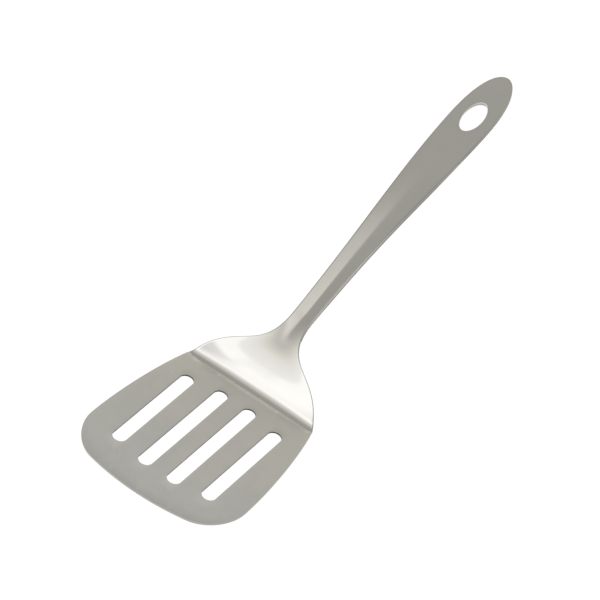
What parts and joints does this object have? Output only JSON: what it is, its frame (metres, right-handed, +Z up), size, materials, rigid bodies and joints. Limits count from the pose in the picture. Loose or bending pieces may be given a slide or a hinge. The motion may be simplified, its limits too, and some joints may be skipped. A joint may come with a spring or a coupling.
{
  "type": "slotted turner",
  "caption": "Stainless steel kitchen turner: a wide slotted blade set at an angle to a slim hollow handle that flares into it and ends in an oval hanging eye.",
  "frame": {"origin": "middle of the tool's footprint, on the table that its heel and its handle's tip rest on", "axes": "+X from the blade's front edge to the handle's tip, +Y across the tool, +Z up"},
  "size_m": [0.3332, 0.0966, 0.0459],
  "materials": {
    "blade_steel": "satin stainless steel sheet",
    "handle_steel": "polished stainless steel pressing",
    "eyelet_steel": "polished stainless steel",
    "weld_steel": "ground stainless steel weld"
  },
  "bodies": {
    "root": {"blade": "blade_steel", "handle_top_shell": "handle_steel", "handle_back_shell": "handle_steel", "hanging_eyelet": "eyelet_steel", "seam_weld": "weld_steel", "neck_weld": "weld_steel", "plug_weld_1": "weld_steel", "plug_weld_2": "weld_steel", "plug_weld_3": "weld_steel", "plug_weld_4": "weld_steel"}
  },
  "joints": []
}
